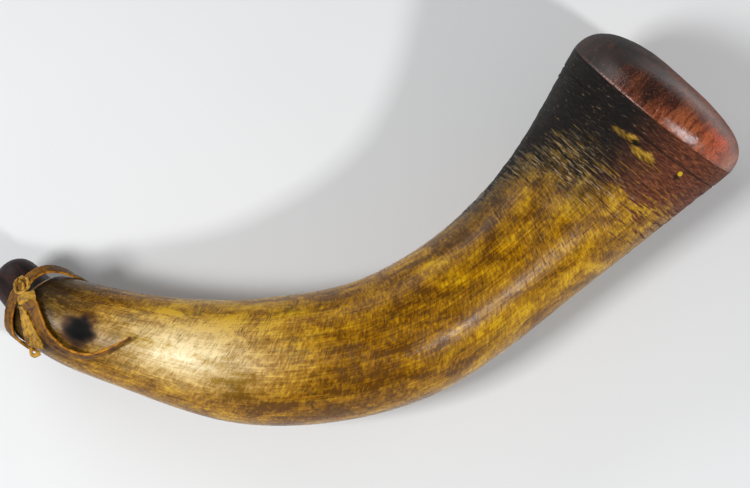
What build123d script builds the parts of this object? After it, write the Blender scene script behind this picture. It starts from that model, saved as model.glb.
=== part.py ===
from build123d import *
import math
import os

# A powder horn: a hollow cow horn, its wide end closed by a pegged wooden plug, its narrow end by a
# wooden stopper, with a leather thong tied round the neck. It lies on its side on the floor, z = 0.

# Driving dimensions, in millimetres and degrees.
# Rows are: centre x, y, z; heading and pitch of the horn's line; outer radius; wall.
LIP = (-135.6, -29.6, 21.9, -47.4, 7.6, 15.8, 5.45)
NECK = (-118.6, -38.1, 22.4, -24.5, 1.5, 17.8, 5.2)
SLIM = (-99.3, -44.4, 22.9, -15.7, 2.3, 19.4, 4.6)
BELLY = (-45.0, -54.8, 26.4, -3.0, 3.0, 25.7, 4.2)
BEND = (7.9, -46.7, 28.1, 22.5, 1.0, 27.4, 3.8)
WAIST = (66.7, -5.4, 28.7, 42.5, 6.0, 28.4, 3.8)
FLARE = (85.9, 13.2, 31.3, 46.5, 14.0, 31.9, 4.0)
RIM = (118.0, 49.1, 38.1, 48.6, 23.0, 41.2, 3.4)
STATIONS = [LIP, NECK, SLIM, BELLY, BEND, WAIST, FLARE, RIM]

SEAT_MOUTH_RADIUS = RIM[5] - RIM[6]
SEAT_TAPER = 22.0
SEAT_DEPTH = 19.0
SEAT_LEDGE = 1.6
TENON_DEPTH = 17.0
SEAL_GAP = 0.5
DOME_HEIGHT = 19.0

PEG_COUNT = 6
PEG_RADIUS = 1.1
PEG_DEPTH = 12.0
PEG_FIRST_ANGLE = 17.0
PEG_INNER_RADIUS = 26.0
PEG_OUTER_RADIUS = 46.0

SHANK_LENGTH = 9.5
SHANK_CLEARANCE = 0.05
SHANK_RADIUS = LIP[5] - LIP[6] - SHANK_CLEARANCE
SHANK_TAPER = 4.0
HEAD_LIFT = 0.4
HEAD_RADIUS = 11.6
HEAD_WAIST_RADIUS = 10.4
HEAD_WAIST_HEIGHT = 9.5
HEAD_HEIGHT = 21.5
BORE_DEPTH = 10.5

THONG_WIDTH = 4.5
THONG_THICKNESS = 1.3
LOOP_RADII = (19.6, 19.6)
LOOP_PLACE = (2.7, -2.7, 2.2)
LOOP_TURN = (-21.8, -2.8, 0.0)

KNOT_SIZE = (7.0, 3.2, 5.0)
KNOT_PLACE = (-2.4, 19.6, 2.7)
KNOT_CORNER = 1.3

SHORT_TAIL_WIDTH = 4.4
SHORT_TAIL_THICKNESS = 1.8
SHORT_TAIL_ARC = [(-139.1, -34.6, 39.0), (-137.1, -41.6, 37.0), (-134.9, -47.9, 33.9)]

LONG_TAIL_DIAMETER = 4.0
LONG_TAIL_ROUTE = [
    (-134.9, -34.4, 40.4), (-132.4, -41.2, 39.6), (-128.8, -47.5, 38.0), (-122.2, -52.5, 37.3),
    (-113.1, -55.8, 38.3), (-102.6, -54.0, 42.6), (-93.9, -49.4, 46.7),
]

os.makedirs("parts", exist_ok=True)


def station_plane(station):
    """The plane across the horn at a station: x towards the horn's hollow side, z towards the wide end."""
    x, y, z, heading, pitch = station[:5]
    turn, rise = math.radians(heading), math.radians(pitch)
    along = (math.cos(turn) * math.cos(rise), math.sin(turn) * math.cos(rise), math.sin(rise))
    return Plane(origin=(x, y, z), x_dir=(-math.sin(turn), math.cos(turn), 0), z_dir=along)


def profile_plane(plane):
    """The plane through another plane's normal, in which a turned piece is drawn: y along that normal."""
    return Plane(origin=plane.origin, x_dir=plane.x_dir, z_dir=plane.x_dir.cross(plane.z_dir))


def axis_of(plane):
    return Axis(plane.origin, plane.z_dir)


def corner_radii(route):
    """The largest arc that each corner's two runs allow."""
    points = [Vector(*point) for point in route]
    radii = []
    for before, here, after in zip(points, points[1:], points[2:]):
        half_turn = math.radians((here - before).get_angle(after - here) / 2)
        shorter = min((here - before).length, (after - here).length)
        radii.append(0.45 * shorter / math.tan(half_turn))
    return radii


def write(part, name):
    part.label = name
    export_step(part, f"parts/{name}.step")


rim_plane = station_plane(RIM)
lip_plane = station_plane(LIP)
tip_plane = Plane(origin=lip_plane.origin, x_dir=lip_plane.x_dir, z_dir=-lip_plane.z_dir)
seat_end_radius = SEAT_MOUTH_RADIUS - TENON_DEPTH * math.tan(math.radians(SEAT_TAPER))

# The horn before it is hollowed.
with BuildPart() as horn_skin:
    for station in STATIONS:
        with BuildSketch(station_plane(station)):
            Circle(station[5])
    loft()

# The holes for the pegs, drilled through the horn into the plug, all round.
peg_ring = rim_plane.offset(-PEG_DEPTH)
with BuildPart() as peg_holes:
    for number in range(PEG_COUNT):
        angle = math.radians(PEG_FIRST_ANGLE + number * 360 / PEG_COUNT)
        outward = peg_ring.x_dir * math.cos(angle) + peg_ring.y_dir * math.sin(angle)
        foot = peg_ring.origin + outward * PEG_INNER_RADIUS
        with BuildSketch(Plane(origin=foot, x_dir=peg_ring.z_dir, z_dir=outward)):
            Circle(PEG_RADIUS)
        extrude(amount=PEG_OUTER_RADIUS - PEG_INNER_RADIUS)

# Wooden pegs, cut flush with the horn.
with BuildPart() as plug_pegs:
    add(peg_holes.part)
    add(horn_skin.part, mode=Mode.INTERSECT)
write(plug_pegs.part, "plug_pegs")

# The horn: outer skin, powder chamber, the plug's seat, the stopper's bore and the pegs' holes.
with BuildPart() as horn_shell:
    add(horn_skin.part)
    with BuildSketch(lip_plane.offset(BORE_DEPTH - 1.5)):
        Circle(SHANK_RADIUS - 1.2)
    for station in STATIONS[1:-1]:
        with BuildSketch(station_plane(station)):
            Circle(station[5] - station[6])
    with BuildSketch(rim_plane.offset(1 - SEAT_DEPTH)):
        Circle(seat_end_radius - SEAT_LEDGE)
    loft(mode=Mode.SUBTRACT)
    with BuildSketch(rim_plane):
        Circle(SEAT_MOUTH_RADIUS)
    extrude(amount=-SEAT_DEPTH, taper=SEAT_TAPER, mode=Mode.SUBTRACT)
    with BuildSketch(lip_plane):
        Circle(SHANK_RADIUS + SHANK_CLEARANCE)
    extrude(amount=BORE_DEPTH, taper=SHANK_TAPER, mode=Mode.SUBTRACT)
    add(peg_holes.part, mode=Mode.SUBTRACT)
write(horn_shell.part, "horn_shell")

# The butt plug: a domed head flush with the horn's rim and a tapered tenon inside it.
with BuildPart() as base_plug:
    with BuildSketch(profile_plane(rim_plane)):
        with BuildLine():
            Polyline(
                (0, DOME_HEIGHT), (0, -TENON_DEPTH), (seat_end_radius - SEAL_GAP, -TENON_DEPTH),
                (SEAT_MOUTH_RADIUS - SEAL_GAP, 0), (RIM[5], 0),
            )
            Bezier(
                (RIM[5], 0), (RIM[5], 0.7 * DOME_HEIGHT), (0.7 * RIM[5], DOME_HEIGHT),
                (0, DOME_HEIGHT),
            )
        make_face()
    revolve(axis=axis_of(rim_plane))
    add(peg_holes.part, mode=Mode.SUBTRACT)
write(base_plug.part, "base_plug")

# The wax that beds the tenon in its seat.
with BuildPart() as plug_seal:
    with BuildSketch(profile_plane(rim_plane)):
        with BuildLine():
            Polyline(
                (SEAT_MOUTH_RADIUS - SEAL_GAP, 0), (SEAT_MOUTH_RADIUS, 0),
                (seat_end_radius, -TENON_DEPTH), (seat_end_radius - SEAL_GAP, -TENON_DEPTH),
                close=True,
            )
        make_face()
    revolve(axis=axis_of(rim_plane))
    add(peg_holes.part, mode=Mode.SUBTRACT)
write(plug_seal.part, "plug_seal")

# The stopper: a tapered shank in the bore and a rounded head that stands clear of the lip.
shank_end_radius = SHANK_RADIUS - SHANK_LENGTH * math.tan(math.radians(SHANK_TAPER))
with BuildPart() as stopper:
    with BuildSketch(profile_plane(tip_plane)):
        with BuildLine():
            Polyline(
                (0, HEAD_HEIGHT), (0, -SHANK_LENGTH), (shank_end_radius, -SHANK_LENGTH),
                (SHANK_RADIUS, 0), (SHANK_RADIUS, HEAD_LIFT), (HEAD_RADIUS, HEAD_LIFT),
                (HEAD_WAIST_RADIUS, HEAD_WAIST_HEIGHT),
            )
            Bezier(
                (HEAD_WAIST_RADIUS, HEAD_WAIST_HEIGHT), (HEAD_WAIST_RADIUS - 0.4, HEAD_HEIGHT - 5),
                (0.6 * HEAD_WAIST_RADIUS, HEAD_HEIGHT), (0, HEAD_HEIGHT),
            )
        make_face()
    revolve(axis=axis_of(tip_plane))
write(stopper.part, "stopper")

# The thong's loop, slack round the neck: its near side lies over the stopper, its far side behind the lip.
loop_plane = Plane(lip_plane.location * Location(LOOP_PLACE, LOOP_TURN))
with BuildPart() as neck_loop:
    with BuildSketch(loop_plane):
        Ellipse(LOOP_RADII[0] + THONG_THICKNESS, LOOP_RADII[1] + THONG_THICKNESS)
        Ellipse(*LOOP_RADII, mode=Mode.SUBTRACT)
    extrude(amount=THONG_WIDTH / 2, both=True)
write(neck_loop.part, "neck_loop")

# The knot on top of the lip.
knot_plane = Plane(lip_plane.location * Location(KNOT_PLACE))
with BuildPart() as thong_knot:
    with BuildSketch(knot_plane):
        RectangleRounded(KNOT_SIZE[0], KNOT_SIZE[1], KNOT_CORNER)
    extrude(amount=KNOT_SIZE[2] / 2, both=True)
write(thong_knot.part, "thong_knot")

# The short, broad tail, bent down over the lip.
with BuildPart() as short_tail:
    with BuildLine() as short_tail_path:
        ThreePointArc(*SHORT_TAIL_ARC)
    start = short_tail_path.line % 0
    across = start.cross(short_tail_path.line % 1).normalized()
    with BuildSketch(Plane(origin=SHORT_TAIL_ARC[0], x_dir=across, z_dir=start)):
        Rectangle(SHORT_TAIL_WIDTH, SHORT_TAIL_THICKNESS)
    sweep()
write(short_tail.part, "short_tail")

# The long tail, lying along the horn's side.
radii = corner_radii(LONG_TAIL_ROUTE)
with BuildPart() as long_tail:
    with BuildLine() as long_tail_path:
        FilletPolyline(*LONG_TAIL_ROUTE, radius=radii)
    with BuildSketch(Plane(origin=LONG_TAIL_ROUTE[0], z_dir=long_tail_path.line % 0)):
        Circle(LONG_TAIL_DIAMETER / 2)
    sweep()
write(long_tail.part, "long_tail")
tail_length = long_tail_path.wires()[0].length
straight_volume = math.pi * LONG_TAIL_DIAMETER**2 / 4 * tail_length
print("long tail radii", [round(radius, 1) for radius in radii])
print("long tail length", round(tail_length, 1))
print("long tail volume over section times length", round(long_tail.part.volume / straight_volume, 3))
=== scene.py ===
"""The looks of an old powder horn: carved horn, turned wood and knotted leather around the CAD frame."""

import bpy
import numpy as np
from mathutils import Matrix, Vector


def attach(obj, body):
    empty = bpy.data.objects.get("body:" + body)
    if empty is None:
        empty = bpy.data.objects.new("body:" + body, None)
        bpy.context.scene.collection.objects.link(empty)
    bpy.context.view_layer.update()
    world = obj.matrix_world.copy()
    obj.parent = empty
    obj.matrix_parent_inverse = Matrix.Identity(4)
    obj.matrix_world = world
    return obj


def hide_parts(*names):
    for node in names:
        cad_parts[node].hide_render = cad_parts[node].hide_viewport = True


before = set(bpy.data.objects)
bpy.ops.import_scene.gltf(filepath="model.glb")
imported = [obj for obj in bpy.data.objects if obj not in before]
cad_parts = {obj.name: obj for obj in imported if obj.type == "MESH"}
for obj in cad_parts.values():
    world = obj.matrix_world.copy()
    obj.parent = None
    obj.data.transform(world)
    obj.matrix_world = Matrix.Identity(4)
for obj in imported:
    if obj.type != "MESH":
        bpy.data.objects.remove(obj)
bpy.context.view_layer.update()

MM = 0.001

# The horn's stations, in millimetres and degrees, as the CAD part has them.
# Rows are: centre x, y, z; heading and pitch of the horn's line; outer radius; wall.
STATIONS = np.array([
    (-135.6, -29.6, 21.9, -47.4, 7.6, 15.8, 5.45),
    (-118.6, -38.1, 22.4, -24.5, 1.5, 17.8, 5.2),
    (-99.3, -44.4, 22.9, -15.7, 2.3, 19.4, 4.6),
    (-45.0, -54.8, 26.4, -3.0, 3.0, 25.7, 4.2),
    (7.9, -46.7, 28.1, 22.5, 1.0, 27.4, 3.8),
    (66.7, -5.4, 28.7, 42.5, 6.0, 28.4, 3.8),
    (85.9, 13.2, 31.3, 46.5, 14.0, 31.9, 4.0),
    (118.0, 49.1, 38.1, 48.6, 23.0, 41.2, 3.4),
])
LIP_RADIUS = STATIONS[0, 5]
RIM_RADIUS = STATIONS[-1, 5]
SEAT_DEPTH, SEAT_END_RADIUS, SEAT_LEDGE = 19.0, 30.2, 1.6
BORE_DEPTH, BORE_RADIUS, BORE_END_RADIUS = 10.5, 10.35, 9.62
DOME_HEIGHT = 17.8
PEG_COUNT, PEG_RADIUS, PEG_DEPTH, PEG_FIRST_ANGLE = 6, 1.1, 12.0, 17.0
PALE_PEG = 2
SHANK_LENGTH, SHANK_RADIUS, SHANK_END_RADIUS = 9.5, 10.3, 9.64
HEAD_LIFT, HEAD_RADIUS, HEAD_HEIGHT = 0.4, 11.6, 21.5

THONG_WIDTH, THONG_THICKNESS = 4.5, 1.3
# The thong's closed line round the lip, in the lip's own frame: across, up and along the horn.
LOOP_LINE = [
    (1, 18.3, -2.5), (6, 17.6, -3.2), (11, 15.2, -2.6), (15.3, 10.5, -0.6), (18.6, 3.5, 3), (18.8, -4, 6.5),
    (15, -12, 9.5), (7, -17, 11.8), (-2.5, -16, 12.6), (-9, -12, 12), (-13.5, -7.5, 10), (-15.6, -1, 6.8),
    (-15.8, 5.5, 3.4), (-12.6, 11.3, 0.9), (-7.8, 15.4, -1.2), (-3, 17.8, -2.4),
]
SHORT_TAIL_ARC = [(-139.1, -34.6, 39.0), (-137.1, -41.6, 37.0), (-134.9, -47.9, 33.9), (-134.6, -49.9, 32.0)]
LONG_TAIL_ROUTE = [
    (-134.9, -34.4, 40.4), (-132.4, -41.2, 39.6), (-128.8, -47.5, 38.0), (-122.2, -52.5, 37.3),
    (-113.1, -55.8, 38.3), (-102.6, -54.0, 42.6), (-93.9, -49.4, 46.7),
]

# Darker and paler patches in the horn's colour: amount, distance from the lip, spread, angle round it,
# spread.
TINTS = [
    (-0.06, 8, 24, 90, 200), (0.08, 72, 26, 55, 30), (-0.09, 113, 22, 150, 28), (-0.07, 150, 26, 108, 42),
    (-0.06, 205, 18, 45, 34), (-0.04, 228, 14, 88, 26), (0.04, 192, 16, 148, 30), (0.05, 250, 14, 150, 24),
    (0.03, 111, 20, 100, 30),
]

# The knot and the root of the short tail are in the lip's own frame, the tail's curled end in the shared one.
KNOT_EYE = [
    (0.9, 18.6, -5.6), (2.7, 18.9, -3.0), (1.2, 19.2, -0.3),
    (-1.9, 19.3, 0.3), (-3.8, 18.7, -1.4), (-1.9, 18.5, -5.2),
]
KNOT_STRAND = [(-0.2, 18.7, -4.8), (0.1, 19.1, -2.6), (-1.4, 19.3, -0.2)]
KNOT_WRAP = [(-5.2, 17.6, 1.6), (-3.6, 18.9, 2.4), (-1.4, 19.3, 3.4), (0.6, 18.4, 4.4)]
TAIL_ROOT = [(-2.8, 18.6, 2.5), (-3.0, 18.4, 5.0), (-3.2, 17.9, 7.5)]
TAIL_CURL = [(-136.6, -49.5, 27.8), (-136.2, -52.1, 28.1), (-134.7, -52.7, 28.3), (-132.8, -51.5, 28.3)]

# Where the marks on the horn are: distance from the rim in millimetres, and angle round it.
SCRIBED_LINE = 9.0
CHIP = (15.2, 110.5)
CHIP_HOLE = (13.5, 102.0)
CHIP_EDGE = (12.6, 99.0)
CHIP_BIT = (14.2, 91.0)
PEG_STAIN = (PEG_DEPTH + 2.4, 137.0)
SLIT = (13.9, 172.0)
BURN_MARK = (270.8, 107.0)
# The horn's radius near the marks at the wide end, and at the burn.
WIDE_RADIUS, BURN_RADIUS = 38.0, 17.5


# ---------------------------------------------------------------- arithmetic

def unit(vectors):
    vectors = np.asarray(vectors, float)
    return vectors / np.linalg.norm(vectors, axis=-1, keepdims=True)


def fade(start, end, value):
    """0 at and before start, 1 at and past end, and smooth between them, in either direction."""
    part = np.clip((np.asarray(value, float) - start) / (end - start), 0, 1)
    return part * part * (3 - 2 * part)


def lobe(centre, spread, value):
    """1 at the centre, falling smoothly away on both sides."""
    return np.exp(-((value - centre) / spread) ** 2)


def lumps(points, size, seed):
    """Smooth noise from -1 to 1 at each point, its features of the given size along each axis."""
    grid = np.random.default_rng(seed).uniform(-1, 1, (32, 32, 32))
    cell = np.asarray(points, float) / np.asarray(size, float)
    low = np.floor(cell).astype(int)
    part = cell - low
    part = part * part * (3 - 2 * part)
    total = np.zeros(cell.shape[:-1])
    for corner in np.ndindex(2, 2, 2):
        weight = np.prod(np.where(np.array(corner) == 1, part, 1 - part), axis=-1)
        index = (low + np.array(corner)) % 32
        total += weight * grid[index[..., 0], index[..., 1], index[..., 2]]
    return total


def turn_apart(angle, side):
    """How far an angle in radians is from a side in degrees, in radians from -pi to pi."""
    return (angle - np.radians(side) + np.pi) % (2 * np.pi) - np.pi


def degrees_apart(angle, side):
    """How far an angle in radians is from a side in degrees, in degrees from 0 to 180."""
    return np.degrees(np.abs(turn_apart(angle, side)))


def side_lobe(side, spread, angle):
    """A lobe round the horn. The side and the spread are in degrees."""
    return np.exp(-(turn_apart(angle, side) / np.radians(spread)) ** 2)


def directions(heading, pitch):
    """Forward, across and up for a heading and a pitch in degrees."""
    turn, rise = np.radians(heading), np.radians(pitch)
    forward = np.array([np.cos(turn) * np.cos(rise), np.sin(turn) * np.cos(rise), np.sin(rise)])
    across = np.array([-np.sin(turn), np.cos(turn), 0.0])
    return forward, across, np.cross(forward, across)


class Horn:
    """The horn's line: every station's row, joined smoothly, as the CAD loft joins its sections."""

    def __init__(self):
        chords = np.linalg.norm(np.diff(STATIONS[:, :3], axis=0), axis=1)
        self.at = np.concatenate([[0], np.cumsum(chords)])
        self.length = self.at[-1]
        self.slopes = np.gradient(STATIONS, self.at, axis=0)

    def place(self, distance):
        """Centre, forward, across, up, outer radius and wall at distances from the lip."""
        distance = np.atleast_1d(np.asarray(distance, float))
        span = np.clip(np.searchsorted(self.at, distance, side="right") - 1, 0, len(self.at) - 2)
        chord = (self.at[span + 1] - self.at[span])[:, None]
        t = (distance - self.at[span])[:, None] / chord
        row = (2 * t**3 - 3 * t**2 + 1) * STATIONS[span] + (3 * t**2 - 2 * t**3) * STATIONS[span + 1]
        row += chord * ((t**3 - 2 * t**2 + t) * self.slopes[span] + (t**3 - t**2) * self.slopes[span + 1])
        turn, rise = np.radians(row[:, 3]), np.radians(row[:, 4])
        forward = np.stack([np.cos(turn) * np.cos(rise), np.sin(turn) * np.cos(rise), np.sin(rise)], axis=1)
        across = np.stack([-np.sin(turn), np.cos(turn), 0 * turn], axis=1)
        return row[:, :3], forward, across, np.cross(forward, across), row[:, 5], row[:, 6]


horn = Horn()
LENGTH = horn.length
LIP_FRAME = (STATIONS[0, :3], *directions(*STATIONS[0, 3:5]))
RIM_FRAME = (STATIONS[-1, :3], *directions(*STATIONS[-1, 3:5]))


def at_lip(x, y, z):
    """Row-frame points, in millimetres, from the lip's own: x across, y up, z along the horn."""
    origin, forward, across, up = LIP_FRAME
    x, y, z = (np.asarray(v, float)[..., None] for v in (x, y, z))
    return origin + x * across + y * up + z * forward


def resample(points, count, closed=False):
    """Points evenly spaced along a smooth curve through the given ones."""
    points = np.asarray(points, float)
    n = len(points)

    def get(i):
        return points[i % n] if closed else points[np.clip(i, 0, n - 1)]

    fine = []
    for i in range(n if closed else n - 1):
        p0, p1, p2, p3 = get(i - 1), get(i), get(i + 1), get(i + 2)
        for t in np.linspace(0, 1, 24, endpoint=False):
            fine.append(0.5 * (2 * p1 + (p2 - p0) * t + (2 * p0 - 5 * p1 + 4 * p2 - p3) * t**2
                               + (3 * p1 - p0 - 3 * p2 + p3) * t**3))
    fine.append(get(n if closed else n - 1))
    fine = np.array(fine)
    run = np.concatenate([[0], np.cumsum(np.linalg.norm(np.diff(fine, axis=0), axis=1))])
    wanted = np.linspace(0, run[-1], count + 1)[:-1] if closed else np.linspace(0, run[-1], count)
    return np.stack([np.interp(wanted, run, fine[:, k]) for k in range(3)], axis=1)


# ---------------------------------------------------------------- meshes

def make_mesh(name, points, faces, attributes=None, smooth=True):
    """A mesh object from points in millimetres, with named point attributes."""
    mesh = bpy.data.meshes.new(name)
    mesh.from_pydata((np.asarray(points) * MM).tolist(), [], [list(face) for face in faces])
    for key, values in (attributes or {}).items():
        values = np.asarray(values, np.float32)
        vector = values.ndim == 2
        layer = mesh.attributes.new(key, "FLOAT_VECTOR" if vector else "FLOAT", "POINT")
        layer.data.foreach_set("vector" if vector else "value", values.ravel())
    mesh.validate()
    if smooth:
        mesh.shade_smooth()
    piece = bpy.data.objects.new(name, mesh)
    bpy.context.scene.collection.objects.link(piece)
    return piece


def grid_faces(rows, columns, close_rows=False):
    """Quads over a grid of points, row by row. Every row is a closed ring."""
    faces = []
    for i in range(rows if close_rows else rows - 1):
        a, b = i * columns, ((i + 1) % rows) * columns
        for j in range(columns):
            k = (j + 1) % columns
            faces.append((a + j, a + k, b + k, b + j))
    return faces


def strap(name, spine, facing, width, thickness, closed=False, rough=0.12, seed=1, sharp=0.45):
    """A leather strap along a spine of points, its broad side turned towards facing."""
    spine = np.asarray(spine, float)
    count = len(spine)
    width = np.broadcast_to(np.asarray(width, float), count)
    thickness = np.broadcast_to(np.asarray(thickness, float), count)
    if closed:
        tangent = unit(np.roll(spine, -1, axis=0) - np.roll(spine, 1, axis=0))
    else:
        tangent = unit(np.gradient(spine, axis=0))
    side = unit(np.cross(tangent, facing))
    normal = np.cross(side, tangent)
    phase = np.linspace(0, 2 * np.pi, 24, endpoint=False)
    flat = np.sign(np.cos(phase)) * np.abs(np.cos(phase)) ** sharp
    high = np.sign(np.sin(phase)) * np.abs(np.sin(phase)) ** sharp
    x = flat[None, :] * width[:, None] / 2
    y = high[None, :] * thickness[:, None] / 2
    points = spine[:, None] + side[:, None] * x[..., None] + normal[:, None] * y[..., None]
    outward = unit(points - spine[:, None])
    lump = rough * (lumps(points, 1.6, seed) + 0.6 * lumps(points, 0.7, seed + 1))
    points = points + outward * lump[..., None]
    steps = np.linalg.norm(np.diff(spine, axis=0), axis=1)
    run = np.concatenate([[0], np.cumsum(steps)])
    edge = np.broadcast_to(fade(0.80, 0.97, np.abs(flat)), x.shape)
    grain = np.stack([np.broadcast_to(run[:, None], x.shape), x, y], axis=-1)
    faces = grid_faces(count, len(phase), close_rows=closed)
    if not closed:
        last = (count - 1) * len(phase)
        faces.append(tuple(reversed(range(len(phase)))))
        faces.append(tuple(range(last, last + len(phase))))
    return make_mesh(name, points.reshape(-1, 3), [face[::-1] for face in faces],
                     {"edge": edge.ravel(), "grain": grain.reshape(-1, 3)})


def turned(frame_of, profile, around, away=False):
    """A turned piece: profile rows are radius and height along the axis; the ends close at the axis."""
    origin, forward, across, up = frame_of
    axis = -forward if away else forward
    angle = np.linspace(0, 2 * np.pi, around, endpoint=False)
    radius, height = np.asarray(profile, float).T
    ring = across[None] * np.cos(angle)[:, None] + up[None] * np.sin(angle)[:, None]
    points = origin + radius[:, None, None] * ring[None] + height[:, None, None] * axis
    local = np.stack([radius[:, None] * np.cos(angle), radius[:, None] * np.sin(angle),
                      np.broadcast_to(height[:, None], (len(radius), around))], axis=-1)
    points, local = points.reshape(-1, 3), local.reshape(-1, 3)
    faces = grid_faces(len(radius), around)
    if away:
        faces = [face[::-1] for face in faces]
    first, last = len(points), len(points) + 1
    points = np.vstack([points, origin + height[0] * axis, origin + height[-1] * axis])
    local = np.vstack([local, (0, 0, height[0]), (0, 0, height[-1])])
    end = (len(radius) - 1) * around
    for j in range(around):
        k = (j + 1) % around
        faces.append((first, k, j) if not away else (first, j, k))
        faces.append((last, end + j, end + k) if not away else (last, end + k, end + j))
    return points, local, faces


# ---------------------------------------------------------------- materials

def tone(red, green, blue):
    """A linear colour from the usual 0 to 255 values."""
    linear = [((v / 255 + 0.055) / 1.055) ** 2.4 if v > 10 else v / 255 / 12.92 for v in (red, green, blue)]
    return (*linear, 1.0)


class Recipe:
    """A node material that is built up from the surface's own coordinates."""

    def __init__(self, name):
        self.material = bpy.data.materials.new(name)
        self.material.use_nodes = True
        self.nodes, self.links = self.material.node_tree.nodes, self.material.node_tree.links
        self.shader = self.nodes["Principled BSDF"]

    def put(self, kind, inputs=(), **settings):
        node = self.nodes.new(kind)
        for key, value in settings.items():
            setattr(node, key, value)
        for key, value in dict(inputs).items():
            self.feed(node.inputs[key], value)
        return node

    def feed(self, socket, value):
        if isinstance(value, bpy.types.NodeSocket):
            self.links.new(value, socket)
        else:
            socket.default_value = value

    def attribute(self, name, output="Fac"):
        return self.put("ShaderNodeAttribute", attribute_name=name).outputs[output]

    def noise(self, vector, size, detail=4.0, rough=0.55, warp=0.0):
        """Noise whose features have these sizes, in the vector's units."""
        scale = tuple(1 / s for s in size)
        scaled = self.put("ShaderNodeVectorMath", {0: vector, 1: scale}, operation="MULTIPLY").outputs[0]
        settings = {"Vector": scaled, "Scale": 1.0, "Detail": detail, "Roughness": rough, "Distortion": warp}
        return self.put("ShaderNodeTexNoise", settings).outputs["Fac"]

    def ramp(self, value, *stops):
        node = self.put("ShaderNodeValToRGB", {"Fac": value})
        elements = node.color_ramp.elements
        while len(elements) < len(stops):
            elements.new(1.0)
        for element, (place, colour) in zip(elements, stops):
            element.position = place
            element.color = colour
        return node.outputs["Color"]

    def step(self, value, low, high, start=0.0, end=1.0):
        settings = {"Value": value, "From Min": low, "From Max": high, "To Min": start, "To Max": end}
        return self.put("ShaderNodeMapRange", settings, interpolation_type="SMOOTHSTEP").outputs["Result"]

    def maths(self, operation, *values):
        node = self.put("ShaderNodeMath", operation=operation)
        for socket, value in zip(node.inputs, values):
            self.feed(socket, value)
        return node.outputs[0]

    def mix(self, factor, under, over):
        node = self.put("ShaderNodeMix", data_type="RGBA")
        for key, value in ((0, factor), (6, under), (7, over)):
            self.feed(node.inputs[key], value)
        return node.outputs[2]

    def bump(self, height, distance, strength=1.0, under=None):
        settings = {"Height": height, "Distance": distance * MM, "Strength": strength}
        if under is not None:
            settings["Normal"] = under
        return self.put("ShaderNodeBump", settings).outputs["Normal"]

    def finish(self, colour, roughness, normal=None, **levels):
        self.feed(self.shader.inputs["Base Color"], colour)
        self.feed(self.shader.inputs["Roughness"], roughness)
        if normal is not None:
            self.links.new(normal, self.shader.inputs["Normal"])
        for key, value in levels.items():
            self.shader.inputs[key.replace("_", " ")].default_value = value
        return self.material


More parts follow.
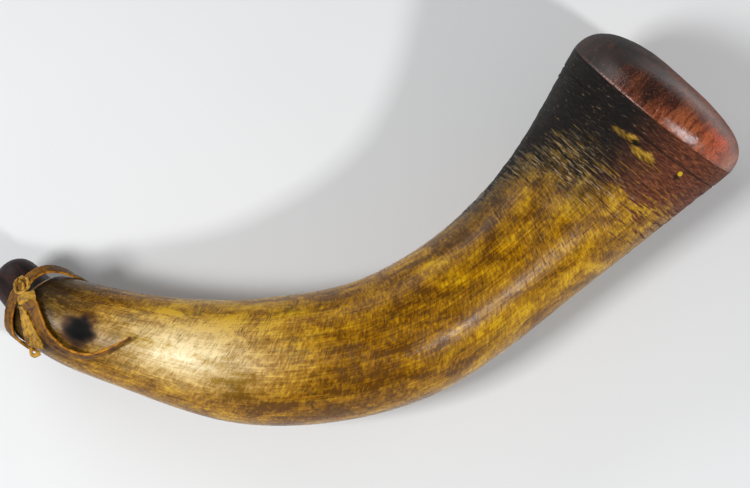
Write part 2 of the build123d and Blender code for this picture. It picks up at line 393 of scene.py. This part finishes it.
def horn_material():
    """Varnished horn: mottled amber, short scratches across it, and a charred, wrinkled wide end."""
    g = Recipe("horn_keratin")
    flow, hatch = g.attribute("flow", "Vector"), g.attribute("hatch", "Vector")
    streaks = g.noise(flow, (20, 0.7, 0.7), 5, 0.65)
    clouds = g.noise(flow, (17, 10, 10), 5, 0.62, 0.8)
    cells = g.noise(hatch, (1.1, 2.4, 2.4), 4, 0.65, 0.4)
    body = g.maths("ADD", g.maths("MULTIPLY", streaks, 0.24), g.maths("MULTIPLY", clouds, 0.46))
    body = g.maths("ADD", body, g.maths("MULTIPLY", cells, 0.30))
    body = g.maths("ADD", body, g.attribute("tint"))
    amber = g.ramp(body, (0.41, tone(88, 52, 1)), (0.47, tone(130, 86, 1)), (0.52, tone(160, 113, 1)),
                   (0.59, tone(198, 154, 16)))
    # A darker greenish brown, mixed in by its mask as painted shade on the far upper side and the underside,
    # and darker near the lip.
    olive_shade = g.ramp(body, (0.42, tone(34, 22, 5)), (0.49, tone(74, 54, 12)), (0.57, tone(112, 86, 26)))
    colour = g.mix(g.attribute("olive_shade"), amber, olive_shade)
    blotches = g.noise(flow, (13, 6, 6), 4, 0.6, 1.0)
    colour = g.mix(g.step(blotches, 0.54, 0.68, 0.0, 0.6), colour, g.mix(0.5, olive_shade, tone(96, 62, 6)))
    # Painted highlight: a pale cream patch on the belly, on the side towards the key light.
    pale = g.ramp(body, (0.42, tone(196, 160, 60)), (0.56, tone(246, 232, 190)))
    colour = g.mix(g.attribute("pale"), colour, pale)
    scratches = g.noise(hatch, (0.42, 4.6, 4.6), 4, 0.62, 0.3)
    glints = g.noise(hatch, (0.36, 3.4, 3.4), 3, 0.6, 0.3)
    patches = g.noise(flow, (14, 8, 8), 3, 0.55)
    scratched = g.maths("MULTIPLY", g.step(scratches, 0.55, 0.64), g.step(patches, 0.40, 0.58))
    scratched = g.maths("MULTIPLY", scratched, g.attribute("hatched"))
    colour = g.mix(g.maths("MULTIPLY", scratched, 0.9), colour, tone(42, 24, 3))
    # Painted glints: bright yellow flecks along the scratches.
    glinting = g.maths("MULTIPLY", g.step(glints, 0.60, 0.70), g.attribute("hatched"))
    colour = g.mix(g.maths("MULTIPLY", glinting, 0.45), colour, tone(226, 196, 84))
    specks = g.noise(flow, (1.4, 0.8, 0.8), 3, 0.7)
    colour = g.mix(g.step(specks, 0.62, 0.72, 0.0, 0.75), colour, tone(58, 34, 4))

    wrinkles = g.noise(flow, (1.3, 9, 9), 4, 0.62, 0.5)
    fine = g.noise(flow, (0.7, 2.2, 2.2), 5, 0.7, 0.3)
    # The palest stop gives whitish scratch flecks in the charred end, partly painted glints.
    black = g.ramp(fine, (0.38, tone(3, 2, 1)), (0.52, tone(12, 7, 4)), (0.62, tone(38, 25, 16)),
                   (0.71, tone(150, 130, 104)))
    maroon = g.ramp(fine, (0.34, tone(38, 14, 6)), (0.5, tone(92, 44, 23)), (0.66, tone(136, 80, 48)))
    charred = g.mix(g.attribute("red"), black, maroon)
    dark = g.maths("ADD", g.attribute("dark"), g.maths("MULTIPLY", g.maths("SUBTRACT", wrinkles, 0.5), 120.0))
    colour = g.mix(g.step(dark, -7.0, 7.0), colour, charred)
    # Whitish scratch lines at the edge of the charred end: wear, partly a painted glint.
    lines = g.noise(flow, (0.55, 4.2, 4.2), 3, 0.6, 0.3)
    wear_and_glint = g.maths("MULTIPLY", g.step(lines, 0.55, 0.66), g.attribute("boundary"))
    colour = g.mix(g.maths("MULTIPLY", wear_and_glint, 0.8), colour, tone(186, 162, 124))
    colour = g.mix(g.attribute("scribed"), colour, tone(14, 8, 5))

    chip_grain = g.noise(hatch, (0.7, 2.2, 2.2), 3, 0.6)
    chip = g.ramp(chip_grain, (0.35, tone(84, 58, 6)), (0.5, tone(144, 108, 14)), (0.65, tone(184, 146, 62)))
    colour = g.mix(g.attribute("chip"), colour, chip)
    # The chip's hole is painted near black as shade; the stain round a peg gets the same colour.
    colour = g.mix(g.attribute("hollow"), colour, tone(5, 3, 2))
    burn = g.attribute("burn")
    colour = g.mix(g.step(burn, 0.0, 0.5, 0.0, 0.9), colour, tone(64, 32, 4))
    colour = g.mix(g.step(burn, 0.25, 0.9), colour, tone(3, 2, 1))
    lip = g.ramp(fine, (0.35, tone(14, 8, 3)), (0.65, tone(52, 31, 7)))
    colour = g.mix(g.attribute("lip_band"), colour, lip)
    colour = g.mix(g.attribute("lip_edge"), colour, tone(150, 118, 78))
    # Painted shade: the inner wall of the chamber, bore and plug seat is a plain dark brown.
    colour = g.mix(g.attribute("inside"), colour, tone(52, 36, 18))

    height = g.maths("ADD", g.maths("MULTIPLY", streaks, 0.3), g.maths("MULTIPLY", scratched, -0.6))
    normal = g.bump(height, 0.22, 0.6)
    rough_zone = g.maths("MULTIPLY", g.maths("ADD", wrinkles, fine), g.attribute("wrinkled"))
    normal = g.bump(rough_zone, 0.8, 0.8, normal)
    roughness = g.maths("ADD", g.step(patches, 0.35, 0.65, 0.25, 0.34), g.maths("MULTIPLY", burn, 0.55))
    roughness = g.maths("ADD", roughness, g.step(dark, -7.0, 7.0, 0.0, 0.34))
    return g.finish(colour, roughness, normal, IOR=1.3, Specular_IOR_Level=0.46)


def dome_material():
    """The butt plug: dark red-brown varnished wood, with painted shade turning it black towards one side, and
    a bright orange patch of wear at the other, brightened as a painted highlight.
    """
    g = Recipe("plug_wood")
    local = g.attribute("local", "Vector")
    grain = g.noise(local, (2.2, 14, 9), 5, 0.6, 0.8)
    fine = g.noise(local, (0.6, 0.9, 0.9), 4, 0.6)
    rings = g.noise(local, (1.1, 1.1, 6.0), 4, 0.6, 1.2)
    body = g.maths("ADD", g.maths("MULTIPLY", grain, 0.6), g.maths("MULTIPLY", fine, 0.4))
    red = g.ramp(body, (0.38, tone(68, 24, 10)), (0.48, tone(122, 58, 28)), (0.6, tone(160, 88, 50)))
    black = g.ramp(body, (0.38, tone(9, 4, 3)), (0.52, tone(34, 15, 8)), (0.66, tone(76, 36, 20)))
    colour = g.mix(g.attribute("shade"), red, black)
    # A bright orange patch of wear near the rim, its brightness partly a painted highlight.
    wear_and_glint = g.maths("MULTIPLY", g.attribute("wear_and_glint"), g.step(fine, 0.42, 0.56))
    colour = g.mix(wear_and_glint, colour, g.ramp(rings, (0.4, tone(196, 48, 4)), (0.6, tone(244, 92, 10))))
    dust = g.maths("MULTIPLY", g.step(fine, 0.6, 0.7), 0.4)
    colour = g.mix(dust, colour, tone(150, 104, 78))
    colour = g.mix(g.attribute("seam"), colour, tone(12, 6, 4))
    rubbed = g.ramp(fine, (0.4, tone(60, 34, 26)), (0.56, tone(170, 132, 124)))
    colour = g.mix(g.attribute("rub"), colour, rubbed)
    normal = g.bump(g.maths("ADD", rings, g.maths("MULTIPLY", fine, 0.6)), 0.3, 0.55)
    dulled = g.maths("MULTIPLY", g.attribute("matte"), 0.55)
    roughness = g.maths("ADD", g.step(fine, 0.35, 0.65, 0.15, 0.24), dulled)
    return g.finish(colour, roughness, normal, IOR=1.35, Specular_IOR_Level=1.0)


def stopper_material():
    """Near-black turned wood, polished by handling."""
    g = Recipe("stopper_wood")
    local = g.attribute("local", "Vector")
    grain = g.noise(local, (1.6, 1.6, 12), 5, 0.65, 0.5)
    pores = g.noise(local, (0.45, 0.45, 2.2), 3, 0.6)
    colour = g.ramp(grain, (0.34, tone(12, 5, 5)), (0.5, tone(28, 12, 11)), (0.66, tone(54, 25, 20)))
    colour = g.mix(g.step(pores, 0.6, 0.7, 0.0, 0.7), colour, tone(10, 5, 4))
    normal = g.bump(g.maths("ADD", grain, g.maths("MULTIPLY", pores, 0.7)), 0.16, 0.5)
    return g.finish(colour, g.step(grain, 0.35, 0.65, 0.42, 0.56), normal, IOR=1.3, Specular_IOR_Level=0.5)


def leather_material(name, face_low, face_high, edge_low, edge_high, gloss):
    """Stiff old leather: stained faces, paler cut edges, fine pores."""
    g = Recipe(name)
    grain = g.attribute("grain", "Vector")
    blotch = g.noise(grain, (3.2, 1.9, 1.9), 4, 0.6, 0.5)
    pores = g.noise(grain, (0.45, 0.35, 0.35), 3, 0.6)
    face = g.ramp(blotch, (0.36, face_low), (0.64, face_high))
    edge = g.ramp(blotch, (0.38, edge_low), (0.6, edge_high))
    colour = g.mix(g.attribute("edge"), face, edge)
    colour = g.mix(g.step(pores, 0.58, 0.7, 0.0, 0.75), colour, tone(20, 10, 4))
    height = g.maths("ADD", g.maths("MULTIPLY", blotch, 0.8), g.maths("MULTIPLY", pores, -0.5))
    roughness = g.step(blotch, 0.35, 0.65, gloss, gloss + 0.2)
    return g.finish(colour, roughness, g.bump(height, 0.35, 0.7), IOR=1.3, Specular_IOR_Level=0.5)


def plain_wood(name, low, high, gloss):
    """Small wooden and waxy parts that keep their CAD shape."""
    g = Recipe(name)
    place = g.put("ShaderNodeTexCoord").outputs["Object"]
    grain = g.noise(place, (0.0006, 0.0006, 0.003), 4, 0.6)
    colour = g.ramp(grain, (0.35, low), (0.65, high))
    return g.finish(colour, g.step(grain, 0.3, 0.7, gloss, gloss + 0.15), g.bump(grain, 0.1, 0.4))


def floor_material():
    g = Recipe("floor_paint")
    place = g.put("ShaderNodeTexCoord").outputs["Object"]
    soft = g.noise(place, (0.2, 0.2, 0.2), 2, 0.5)
    colour = g.ramp(soft, (0.3, (0.69, 0.695, 0.70, 1)), (0.7, (0.72, 0.725, 0.73, 1)))
    return g.finish(colour, 0.7)


# ---------------------------------------------------------------- camera, floor and light

def aim(thing, target):
    direction = target - np.array(thing.location)
    thing.rotation_euler = Vector(direction).to_track_quat("-Z", "Y").to_euler()


def make_camera():
    data = bpy.data.cameras.new("camera")
    data.lens, data.sensor_width, data.clip_end = 100.0, 36.0, 50.0
    camera = bpy.data.objects.new("camera", data)
    camera.location = (0.0032, -0.2278, 0.8566)
    aim(camera, np.array([0.0032, -0.005, 0.025]))
    bpy.context.scene.collection.objects.link(camera)
    bpy.context.scene.camera = camera


def make_light(name, place, target, size, power):
    data = bpy.data.lights.new(name, "AREA")
    data.shape, data.size, data.size_y = "RECTANGLE", size[0], size[1]
    data.energy = power
    light = bpy.data.objects.new(name, data)
    light.location = place
    aim(light, np.array(target))
    bpy.context.scene.collection.objects.link(light)


def make_studio():
    floor = make_mesh("floor", [(-3000, -3000, 0), (3000, -3000, 0), (3000, 3000, 0), (-3000, 3000, 0)],
                      [(0, 1, 2, 3)], smooth=False)
    floor.data.materials.append(floor_material())
    world = bpy.data.worlds.new("studio")
    world.use_nodes = True
    world.node_tree.nodes["Background"].inputs["Color"].default_value = (0.95, 0.97, 1.0, 1)
    world.node_tree.nodes["Background"].inputs["Strength"].default_value = 0.19
    bpy.context.scene.world = world
    make_light("key_box", (-0.80, -0.42, 1.05), (-0.06, -0.04, 0.03), (0.34, 0.34), 13.8)
    make_light("side_box", (0.85, -0.72, 0.83), (0.1, 0.03, 0.04), (0.11, 0.11), 10.5)
    make_light("back_fill", (-1.4, 1.6, 1.0), (0.0, 0.0, 0.03), (1.8, 1.0), 19.0)
    bpy.context.scene.view_settings.view_transform = "Standard"


# ---------------------------------------------------------------- the pieces

def long_tail_line():
    """Points along the NURBS curve that the long tail follows, in millimetres."""
    curve = bpy.data.curves.new("long_tail_route", "CURVE")
    curve.dimensions = "3D"
    spline = curve.splines.new("NURBS")
    spline.points.add(len(LONG_TAIL_ROUTE) - 1)
    for point, place in zip(spline.points, LONG_TAIL_ROUTE):
        point.co = (*(v * MM for v in place), 1.0)
    spline.order_u = 3
    spline.use_endpoint_u = True
    spline.resolution_u = 16
    carrier = bpy.data.objects.new("long_tail_route", curve)
    bpy.context.scene.collection.objects.link(carrier)
    bpy.context.view_layer.update()
    line = bpy.data.meshes.new_from_object(carrier)
    points = np.array([v.co for v in line.vertices], float) / MM
    bpy.data.objects.remove(carrier)
    bpy.data.meshes.remove(line)
    return points


def above_skin(points):
    """How far each point stands out from the horn's skin, and which way is out."""
    table, forward, _, _, outer, _ = horn.place(np.linspace(0, LENGTH, 900))
    away = np.asarray(points)[:, None] - table[None]
    reach = np.linalg.norm(away, axis=2)
    near = np.argmin(np.abs(np.sum(away * forward[None], axis=2)) + 0.05 * reach, axis=1)
    row = np.arange(len(near))
    return reach[row, near] - outer[near], unit(away[row, near])


def make_long_tail(leather):
    """The long tail: flat and broad at the knot, twisted on to its edge and drawn out to a thin tip."""
    line = long_tail_line()
    spine = resample(line, 90)
    run = np.linspace(0, 1, len(spine))
    out = above_skin(spine)[1]
    sideways = unit(np.cross(np.gradient(spine, axis=0), out))
    twist = np.radians(8 + 34 * fade(0.25, 0.8, run))[:, None]
    facing = out * np.cos(twist) + sideways * np.sin(twist)
    width = np.interp(run, (0, 0.25, 0.5, 0.8, 1), (5.6, 5.0, 3.8, 2.7, 1.6))
    thickness = 1.5 - 0.2 * run - 0.5 * fade(0.85, 1.0, run)
    piece = strap("long_tail_strap", spine, facing, width, thickness, rough=0.10, seed=21)
    piece.data.materials.append(leather)
    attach(piece, "horn")
    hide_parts("long_tail")


def horn_relief(distance, angle, flow):
    """How far the horn's skin stands out from its smooth shape, in millimetres, and its marks."""
    from_rim = LENGTH - distance
    dark = distance - 261 + 40 * side_lobe(14, 36, angle) + 5 * lumps(flow, (9, 14, 14), 3)
    wrinkled = 0.12 + 0.88 * fade(-34, 4, dark)
    relief = 0.22 * lumps(flow, (34, 20, 20), 5) + 0.05 * lumps(flow, (30, 2.4, 2.4), 6)
    relief += wrinkled * (0.16 * lumps(flow, (2.4, 13, 13), 7) + 0.10 * lumps(flow, (1.7, 6, 6), 8))
    scribed = lobe(SCRIBED_LINE + 0.3 * lumps(flow, (99, 12, 12), 9), 0.45, from_rim)
    relief -= 0.32 * scribed

    def spot(place, length, height, seed, tilt=0.0):
        """1 inside a ragged patch round the horn, 0 outside it."""
        along = from_rim - place[0]
        round_it = turn_apart(angle, place[1]) * WIDE_RADIUS
        along, round_it = along + tilt * round_it, round_it - tilt * along
        ragged = 0.25 * lumps(flow, (1.4, 1.4, 1.4), seed) + 0.2 * lumps(flow, (0.8, 0.8, 0.8), seed + 1)
        return fade(1.25, 0.8, np.sqrt((along / height) ** 2 + (round_it / length) ** 2) + ragged)

    chip = spot(CHIP, 5.6, 2.0, 11, 0.05)
    chip = np.maximum(chip, 0.5 * spot(CHIP_BIT, 3.4, 1.5, 13))
    chip = np.maximum(chip, spot(CHIP_EDGE, 2.4, 1.7, 15))
    hollow = spot(CHIP_HOLE, 1.9, 1.0, 17)
    peg_stain = spot(PEG_STAIN, 1.5, 1.3, 19)
    relief -= 0.55 * chip + 1.6 * hollow + 0.5 * peg_stain
    burn_along = (from_rim - BURN_MARK[0]) / 8.2
    burn_round = turn_apart(angle, BURN_MARK[1]) * BURN_RADIUS / 7.8
    burn = fade(1.25, 0.25, np.hypot(burn_along, burn_round) + 0.16 * lumps(flow, (2.5, 2.5, 2.5), 23))
    relief -= 0.35 * burn
    slit = lobe(SLIT[0], 0.5, from_rim) * lobe(0, 2.6, turn_apart(angle, SLIT[1]) * WIDE_RADIUS)
    relief -= 0.8 * slit

    tint = sum(amount * lobe(place, length, distance) * side_lobe(side, width, angle)
               for amount, place, length, side, width in TINTS)
    # Painted shade: darker greenish brown along the far upper side from 165 mm on, more widely near the wide
    # end, and along the underside; the horn is also made darker within 34 mm of the lip.
    olive_shade = fade(165, 220, distance) * side_lobe(22, 36, angle)
    olive_shade += 0.8 * fade(225, 258, distance) * fade(104, 70, degrees_apart(angle, 22))
    olive_shade += 0.9 * fade(34, 6, distance) + 0.7 * fade(55, 30, degrees_apart(angle, 235))
    # Where scratches and the painted glints along them go: more on the upper side between 10 and 150 mm from
    # the lip, and towards the wide end.
    hatched = 0.35 + 0.65 * side_lobe(62, 34, angle) * fade(10, 22, distance) * fade(150, 90, distance)
    hatched += 0.6 * fade(190, 235, distance)
    # The side seen from above; the whitish scratch lines at the charred edge, partly painted glints, are put
    # only there.
    seen_side = fade(20, 70, np.degrees(angle)) * fade(150, 100, np.degrees(angle))
    marks = {
        "dark": dark,
        "wrinkled": wrinkled,
        "boundary": lobe(-3, 12, dark) * seen_side,
        "scribed": 0.85 * scribed + slit,
        "chip": chip,
        # chip's hole painted near black as shade, plus the stain round a peg
        "hollow": hollow + 0.9 * peg_stain,
        "burn": burn,
        "tint": tint,
        "red": fade(78, 128, degrees_apart(angle, 8)),
        "lip_band": fade(3.6, 2.6, distance + 0.5 * lumps(flow, (3, 5, 5), 25)) + 0.45 * fade(9, 3, distance),
        "lip_edge": fade(1.3, 0.7, distance),
        # painted shade on the far upper side and the underside, and darker near the lip
        "olive_shade": olive_shade,
        "hatched": hatched,
        # painted highlight: pale cream patch on the belly, 66 mm from the lip
        "pale": 0.8 * lobe(66, 30, distance) * side_lobe(103, 26, angle),
    }
    for key in marks:
        if key not in ("dark", "tint"):
            marks[key] = np.clip(marks[key], 0, 1)
    return relief, marks


def horn_rings():
    """The rings that make up the horn's wall, from the lip over the skin to the rim and back inside.

    Each is where it is placed from, its place along that line, its radius if that is not the horn's own, and
    1 on the outside or 0 inside.
    """
    scribed_rings = LENGTH - SCRIBED_LINE + np.linspace(-1.6, 1.6, 13)
    last_rings = LENGTH - np.array([5.5, 4, 2.5, 1.2, 0.5])
    skin = np.concatenate([[0.9, 1.4, 2.0], np.linspace(2.8, LENGTH - 11, 360), scribed_rings, last_rings])
    skin = np.unique(np.round(skin, 3))
    rings = [("lip", 0.0, LIP_RADIUS - 0.8, 1), ("lip", 0.12, LIP_RADIUS - 0.4, 1)]
    rings += [("lip", 0.4, LIP_RADIUS - 0.1, 1)]
    rings += [("line", d, None, 1) for d in skin]
    rings += [("rim", -0.1, RIM_RADIUS - 0.02, 1), ("rim", -0.04, RIM_RADIUS - 0.1, 1)]
    rings += [("rim", -0.05, RIM_RADIUS - 0.9, 0), ("rim", -0.05, 37.8, 0), ("rim", -9.0, 34.2, 0)]
    rings += [("rim", -SEAT_DEPTH, SEAT_END_RADIUS, 0), ("rim", -SEAT_DEPTH, SEAT_END_RADIUS - SEAT_LEDGE, 0)]
    rings += [("chamber", d, None, 0) for d in np.linspace(LENGTH - 49, 17, 36)]
    rings += [("lip", BORE_DEPTH, BORE_END_RADIUS - 0.3, 0), ("lip", BORE_DEPTH, BORE_END_RADIUS, 0)]
    rings += [("lip", 5.0, 10.0, 0), ("lip", 0.35, BORE_RADIUS, 0), ("lip", 0.0, BORE_RADIUS + 0.4, 0)]
    return rings + [("lip", 0.0, 13.0, 1)]


def make_horn():
    """The horn itself: skin, rim, plug seat, chamber, stopper bore and lip, as one closed wall."""
    around = 256
    angle = np.linspace(0, 2 * np.pi, around, endpoint=False)
    rings = horn_rings()
    count = len(rings)
    centre, across, up = np.zeros((count, 3)), np.zeros((count, 3)), np.zeros((count, 3))
    radius, distance = np.zeros(count), np.zeros(count)
    for i, (kind, place, size, _) in enumerate(rings):
        if kind in ("line", "chamber"):
            c, _, a, u, outer, wall = horn.place(place)
            centre[i], across[i], up[i] = c[0], a[0], u[0]
            radius[i], distance[i] = (outer - (wall if kind == "chamber" else 0))[0], place
        else:
            origin, forward, a, u = LIP_FRAME if kind == "lip" else RIM_FRAME
            centre[i], across[i], up[i] = origin + place * forward, a, u
            radius[i], distance[i] = size, place if kind == "lip" else LENGTH + place
    visible = np.array([row[3] for row in rings], float)
    run, turn = np.meshgrid(distance, angle, indexing="ij")
    flow = np.stack([run, 25 * np.cos(turn), 25 * np.sin(turn)], axis=-1)
    relief, marks = horn_relief(run, turn, flow)
    relief *= visible[:, None] * fade(0.3, 3, distance)[:, None] * fade(0.4, 3, LENGTH - distance)[:, None]
    ring = across[:, None] * np.cos(angle)[None, :, None] + up[:, None] * np.sin(angle)[None, :, None]
    points = centre[:, None] + ring * (radius[:, None] + relief)[..., None]
    hatch = flow.copy()
    hatch[..., 0] += 12 * np.sin(turn - np.radians(105))
    attributes = {key: value.ravel() for key, value in marks.items()}
    attributes["flow"] = flow.reshape(-1, 3)
    attributes["hatch"] = hatch.reshape(-1, 3)
    # 1 on the inner wall, which the material paints dark as shade
    attributes["inside"] = np.repeat(1 - visible, around)
    faces = grid_faces(count, around, close_rows=True)
    piece = make_mesh("horn_skin", points.reshape(-1, 3), faces, attributes)
    piece.data.materials.append(horn_material())
    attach(piece, "horn")
    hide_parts("horn_shell")


def make_dome():
    """The butt plug: a flattened dome, fuller on one side and thinned by wear on the other, and its tenon."""
    t = np.linspace(0, 1, 70)[:-1]
    b0, b1, b2, b3 = (1 - t) ** 3, 3 * t * (1 - t) ** 2, 3 * t**2 * (1 - t), t**3
    radius = (b0 + b1 + 0.72 * b2) * RIM_RADIUS
    height = (0.72 * b1 + b2 + b3) * DOME_HEIGHT + 0.08
    profile = [(30.1, -17.0), (30.4, -17.0), (33.6, -9.0), (37.0, -0.1), (37.6, 0.02), (40.2, 0.02)]
    profile += [(41.0, 0.02), *zip(radius, height)]
    points, local, faces = turned(RIM_FRAME, profile, 192)
    rise = local[:, 2]
    head = rise > 0.2
    angle = np.arctan2(local[:, 1], local[:, 0])
    reach = np.hypot(local[:, 0], local[:, 1]) / RIM_RADIUS
    full = 0.8 * np.cos(angle - np.radians(20)) * np.sin(np.pi * np.clip(reach, 0, 1)) * fade(0, 6, rise)
    shape = 0.30 * lumps(local, (14, 14, 14), 31) + 0.06 * lumps(local, (2.5, 2.5, 2.5), 32)
    swell = (full + shape * fade(0.3, 3, rise)) * head
    points = points + RIM_FRAME[1] * swell[:, None]
    dull = 0.3 * lumps(local, (9, 9, 9), 33)
    marks = {
        "local": local,
        # painted shade: black towards one side
        "shade": fade(0.12, 0.78, np.cos(angle - np.radians(38)) * reach + dull + 0.25 * (1 - reach)),
        "matte": fade(0.78, 0.25, np.cos(angle - np.radians(118)) * reach),
        # bright orange patch of wear near the rim, partly a painted highlight
        "wear_and_glint": side_lobe(146, 12, angle) * lobe(0.93, 0.06, reach),
        "seam": fade(0.9, 0.25, rise) * head * side_lobe(160, 26, angle),
        "rub": fade(1.3, 0.7, rise) * head * side_lobe(68, 17, angle),
    }
    piece = make_mesh("plug_dome", points, faces, marks)
    piece.data.materials.append(dome_material())
    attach(piece, "horn")
    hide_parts("base_plug")


def make_stopper():
    """The stopper: a rounded, slightly uneven acorn head on a tapered shank."""
    t = np.linspace(0, 1, 40)
    top_radius = 10.4 * np.cos(t * np.pi / 2) ** 0.62
    top_height = 10.5 + (HEAD_HEIGHT - 10.5) * np.sin(t * np.pi / 2)
    profile = [
        (SHANK_END_RADIUS - 0.6, -SHANK_LENGTH), (SHANK_END_RADIUS, -SHANK_LENGTH + 0.5), (9.95, -5.0),
        (SHANK_RADIUS, 0.0), (SHANK_RADIUS, HEAD_LIFT), (HEAD_RADIUS - 0.4, HEAD_LIFT),
        (HEAD_RADIUS, 0.9), (HEAD_RADIUS, 1.8), (11.3, 3.0), (10.9, 5.5), (10.6, 8.0),
    ]
    profile += list(zip(top_radius, top_height))[:-1]
    points, local, faces = turned(LIP_FRAME, profile, 96, away=True)
    out = unit(points - LIP_FRAME[0] - (points - LIP_FRAME[0]) @ LIP_FRAME[1][:, None] * LIP_FRAME[1])
    uneven = 0.18 * lumps(local, (6, 6, 6), 41) + 0.05 * lumps(local, (1.2, 1.2, 5), 42)
    uneven *= fade(1.0, 3.0, local[:, 2])
    points = points + np.nan_to_num(out) * uneven[:, None]
    piece = make_mesh("stopper_acorn", points, faces, {"local": local})
    piece.data.materials.append(stopper_material())
    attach(piece, "stopper")
    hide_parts("stopper")


def make_thong(leather, rawhide):
    """The thong's ring, its eye and wrapped knot, and the short broad tail."""
    up = LIP_FRAME[3]
    spine = resample(at_lip(*np.array(LOOP_LINE).T), 240, closed=True)
    gap, facing = above_skin(spine)
    spine = spine + facing * np.maximum(0, 0.8 - gap)[:, None]
    width = THONG_WIDTH + 0.7 * lumps(spine, (11, 11, 11), 52)
    loop = strap("neck_strap", spine, facing, width, THONG_THICKNESS, closed=True, rough=0.14, seed=53)

    eye_line = resample(at_lip(*np.array(KNOT_EYE).T), 70, closed=True)
    eye = strap("knot_eye", eye_line, np.broadcast_to(up, eye_line.shape), 1.4, 1.8, closed=True,
                rough=0.45, seed=55, sharp=0.8)
    strand_line = resample(at_lip(*np.array(KNOT_STRAND).T), 24)
    strand = strap("knot_strand", strand_line, np.broadcast_to(up, strand_line.shape), 1.4, 1.4,
                   rough=0.1, seed=57, sharp=0.8)
    wrap_line = resample(at_lip(*np.array(KNOT_WRAP).T), 44)
    wrap = strap("knot_wrap", wrap_line, np.broadcast_to(up, wrap_line.shape), 4.2, 2.6,
                 rough=0.22, seed=59, sharp=0.75)
    root_line = resample(at_lip(*np.array(TAIL_ROOT).T), 24)
    root = strap("tail_root", root_line, above_skin(root_line)[1], 5.6, 1.5, rough=0.1, seed=63)

    run = np.linspace(0, 1, 80)
    tail_line = resample(SHORT_TAIL_ARC, 80)
    tail_width = 2.6 + 6.0 * fade(0.0, 1.0, run) - 1.2 * fade(0.95, 1.0, run)
    tail_thickness = 2.0 + 0.5 * np.sin(run * 9) - 0.9 * fade(0.93, 1.0, run)
    tail = strap("short_tail_flap", tail_line, above_skin(tail_line)[1], tail_width, tail_thickness,
                 rough=0.42, seed=61, sharp=0.7)
    curl_line = resample(TAIL_CURL, 30)
    curl = strap("short_tail_curl", curl_line, above_skin(curl_line)[1], 2.2, 1.4,
                 rough=0.2, seed=65, sharp=0.7)
    for part, material, stands_for in (
        (loop, leather, "neck_loop"), (eye, rawhide, None), (strand, rawhide, None),
        (wrap, rawhide, "thong_knot"), (root, leather, None), (tail, rawhide, "short_tail"),
        (curl, rawhide, None),
    ):
        part.data.materials.append(material)
        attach(part, "horn")
        if stands_for:
            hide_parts(stands_for)


def make_pegs(peg_wood):
    """Wooden pegs, cut nearly flush, one pale and the others stained like the horn."""
    for number in range(PEG_COUNT):
        pale = number == PALE_PEG
        angle = np.radians(PEG_FIRST_ANGLE + number * 360 / PEG_COUNT - 3.5 * pale)
        stand = 0.4 if pale else 0.03
        origin, forward, across, up = RIM_FRAME
        out = across * np.cos(angle) + up * np.sin(angle)
        foot = origin - (PEG_DEPTH - 1.2 * pale) * forward
        steps = np.arange(30, 48, 0.05)
        skin = steps[np.argmax(above_skin(foot + steps[:, None] * out)[0] >= 0)]
        side = unit(np.cross(out, forward))
        end = skin + stand
        reach = [(PEG_RADIUS, 26.0), (PEG_RADIUS, end - 0.2), (PEG_RADIUS - 0.15, end), (0.55, end + 0.05)]
        points, local, faces = turned((foot, out, side, np.cross(out, side)), reach, 28)
        points = points + 0.05 * lumps(points, 0.6, 71)[:, None] * out
        stain = np.full(len(points), 0.0 if pale else 1.0)
        piece = make_mesh(f"peg_{number + 1}", points, faces, {"local": local, "stain": stain})
        piece.data.materials.append(peg_wood)
        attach(piece, "horn")
        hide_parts("plug_pegs")


def peg_material():
    g = Recipe("peg_wood")
    local = g.attribute("local", "Vector")
    grain = g.noise(local, (0.3, 0.3, 2.0), 4, 0.6)
    pale = g.ramp(grain, (0.35, tone(150, 112, 12)), (0.65, tone(214, 182, 40)))
    stained = g.ramp(grain, (0.35, tone(12, 7, 5)), (0.65, tone(36, 19, 12)))
    colour = g.mix(g.attribute("stain"), pale, stained)
    roughness = g.step(grain, 0.3, 0.7, 0.65, 0.8)
    return g.finish(colour, roughness, g.bump(grain, 0.1, 0.5), Specular_IOR_Level=0.2)


make_camera()
leather = leather_material(
    "thong_leather", tone(50, 26, 5), tone(128, 84, 18), tone(120, 72, 8), tone(196, 130, 24), 0.36
)
rawhide = leather_material(
    "rawhide", tone(96, 62, 8), tone(186, 142, 52), tone(110, 72, 8), tone(196, 148, 40), 0.3
)
make_long_tail(leather)
make_horn()
make_dome()
make_stopper()
make_thong(leather, rawhide)
make_pegs(peg_material())
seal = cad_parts["plug_seal"]
seal.data.materials.clear()
seal.data.materials.append(plain_wood("beeswax", tone(40, 26, 12), tone(86, 60, 28), 0.45))
make_studio()
